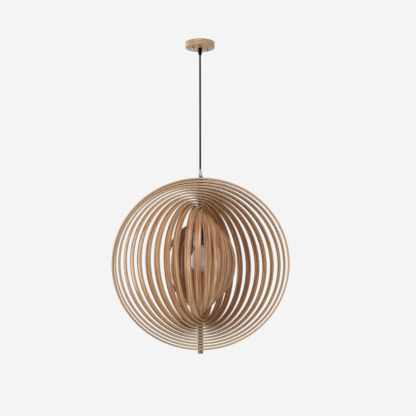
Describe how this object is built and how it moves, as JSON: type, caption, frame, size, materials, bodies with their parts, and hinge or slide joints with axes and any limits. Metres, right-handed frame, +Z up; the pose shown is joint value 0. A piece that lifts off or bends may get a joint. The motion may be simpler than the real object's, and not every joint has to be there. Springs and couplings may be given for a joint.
{
  "type": "wood ring pendant light",
  "caption": "Pendant light of nested bent-wood hoops that turn about one upright axis round a bulb, hung on a cord from a turned wood ceiling canopy.",
  "frame": {"origin": "on the ceiling, at the middle of the canopy and of the two ceiling screw holes", "axes": "+Z up along the stem and cord, +X along the line of the ceiling screws, +Y away from the viewer of the picture"},
  "size_m": [0.5002, 0.3094, 0.8928],
  "materials": {
    "hoop_wood": "oiled bent plywood strip",
    "canopy_wood": "oiled turned wood",
    "zinc_steel": "zinc plated",
    "chrome_nuts": "polished",
    "black_grip": "satin black",
    "black_cord": "smooth black sheath",
    "core_insulation": "smooth",
    "white_moulding": "moulded",
    "pale_grip": "satin grey",
    "dark_steel": "dark plated",
    "grey_nut": "satin grey plated",
    "black_holder": "glossy black moulding",
    "contact_brass": "plain",
    "bulb_aluminium": "plain",
    "frosted_glass": "frosted white",
    "clear_glass": "clear",
    "filament_wire": "drawn wire"
  },
  "bodies": {
    "fitting": {"ceiling_canopy": "canopy_wood", "mounting_plate": "zinc_steel", "canopy_studs": "zinc_steel", "cord_grip_locknut": "zinc_steel", "terminal_screws": "zinc_steel", "stem_tube": "zinc_steel", "stem_lower_nut": "zinc_steel", "bottom_rod": "zinc_steel", "bottom_inner_nut": "zinc_steel", "canopy_cap_nuts": "chrome_nuts", "canopy_cord_grip": "black_grip", "cord": "black_cord", "cord_upper_end": "black_cord", "cord_lower_end": "black_cord", "cord_cores": "core_insulation", "terminal_block": "white_moulding", "lampholder_insert": "white_moulding", "stem_cord_grip": "pale_grip", "top_nut": "dark_steel", "top_spacers": "dark_steel", "bottom_spacers": "dark_steel", "bottom_end_nut": "grey_nut", "lampholder_cap": "black_holder", "lampholder_skirt": "black_holder", "bulb_cap_insulator": "black_holder", "lampholder_screw_sleeve": "contact_brass", "lampholder_contact": "contact_brass", "bulb_tip_contact": "contact_brass", "bulb_cap": "bulb_aluminium", "bulb_glass": "frosted_glass", "bulb_mount_stem": "clear_glass", "bulb_filament": "filament_wire"},
    "ring_01": {"ring_01": "hoop_wood"},
    "ring_02": {"ring_02": "hoop_wood"},
    "ring_03": {"ring_03": "hoop_wood"},
    "ring_04": {"ring_04": "hoop_wood"},
    "ring_05": {"ring_05": "hoop_wood"},
    "ring_06": {"ring_06": "hoop_wood"},
    "ring_07": {"ring_07": "hoop_wood"},
    "ring_08": {"ring_08": "hoop_wood"},
    "ring_09": {"ring_09": "hoop_wood"},
    "ring_10": {"ring_10": "hoop_wood"},
    "ring_11": {"ring_11": "hoop_wood"},
    "ring_12": {"ring_12": "hoop_wood"},
    "ring_13": {"ring_13": "hoop_wood"},
    "ring_14": {"ring_14": "hoop_wood"},
    "ring_15": {"ring_15": "hoop_wood"},
    "ring_16": {"ring_16": "hoop_wood"},
    "ring_17": {"ring_17": "hoop_wood"}
  },
  "joints": [
    {"name": "ring_01_turn", "type": "hinge", "parent": "fitting", "child": "ring_01", "pos_m": [0, 0, -0.6407], "axis": [0, 0, 1], "continuous": true},
    {"name": "ring_02_turn", "type": "hinge", "parent": "fitting", "child": "ring_02", "pos_m": [0, 0, -0.6407], "axis": [0, 0, 1], "continuous": true},
    {"name": "ring_03_turn", "type": "hinge", "parent": "fitting", "child": "ring_03", "pos_m": [0, 0, -0.6407], "axis": [0, 0, 1], "continuous": true},
    {"name": "ring_04_turn", "type": "hinge", "parent": "fitting", "child": "ring_04", "pos_m": [0, 0, -0.6407], "axis": [0, 0, 1], "continuous": true},
    {"name": "ring_05_turn", "type": "hinge", "parent": "fitting", "child": "ring_05", "pos_m": [0, 0, -0.6407], "axis": [0, 0, 1], "continuous": true},
    {"name": "ring_06_turn", "type": "hinge", "parent": "fitting", "child": "ring_06", "pos_m": [0, 0, -0.6407], "axis": [0, 0, 1], "continuous": true},
    {"name": "ring_07_turn", "type": "hinge", "parent": "fitting", "child": "ring_07", "pos_m": [0, 0, -0.6407], "axis": [0, 0, 1], "continuous": true},
    {"name": "ring_08_turn", "type": "hinge", "parent": "fitting", "child": "ring_08", "pos_m": [0, 0, -0.6407], "axis": [0, 0, 1], "continuous": true},
    {"name": "ring_09_turn", "type": "hinge", "parent": "fitting", "child": "ring_09", "pos_m": [0, 0, -0.6407], "axis": [0, 0, 1], "continuous": true},
    {"name": "ring_10_turn", "type": "hinge", "parent": "fitting", "child": "ring_10", "pos_m": [0, 0, -0.6407], "axis": [0, 0, 1], "continuous": true},
    {"name": "ring_11_turn", "type": "hinge", "parent": "fitting", "child": "ring_11", "pos_m": [0, 0, -0.6407], "axis": [0, 0, 1], "continuous": true},
    {"name": "ring_12_turn", "type": "hinge", "parent": "fitting", "child": "ring_12", "pos_m": [0, 0, -0.6407], "axis": [0, 0, 1], "continuous": true},
    {"name": "ring_13_turn", "type": "hinge", "parent": "fitting", "child": "ring_13", "pos_m": [0, 0, -0.6407], "axis": [0, 0, 1], "continuous": true},
    {"name": "ring_14_turn", "type": "hinge", "parent": "fitting", "child": "ring_14", "pos_m": [0, 0, -0.6407], "axis": [0, 0, 1], "continuous": true},
    {"name": "ring_15_turn", "type": "hinge", "parent": "fitting", "child": "ring_15", "pos_m": [0, 0, -0.6407], "axis": [0, 0, 1], "continuous": true},
    {"name": "ring_16_turn", "type": "hinge", "parent": "fitting", "child": "ring_16", "pos_m": [0, 0, -0.6407], "axis": [0, 0, 1], "continuous": true},
    {"name": "ring_17_turn", "type": "hinge", "parent": "fitting", "child": "ring_17", "pos_m": [0, 0, -0.6407], "axis": [0, 0, 1], "continuous": true}
  ]
}
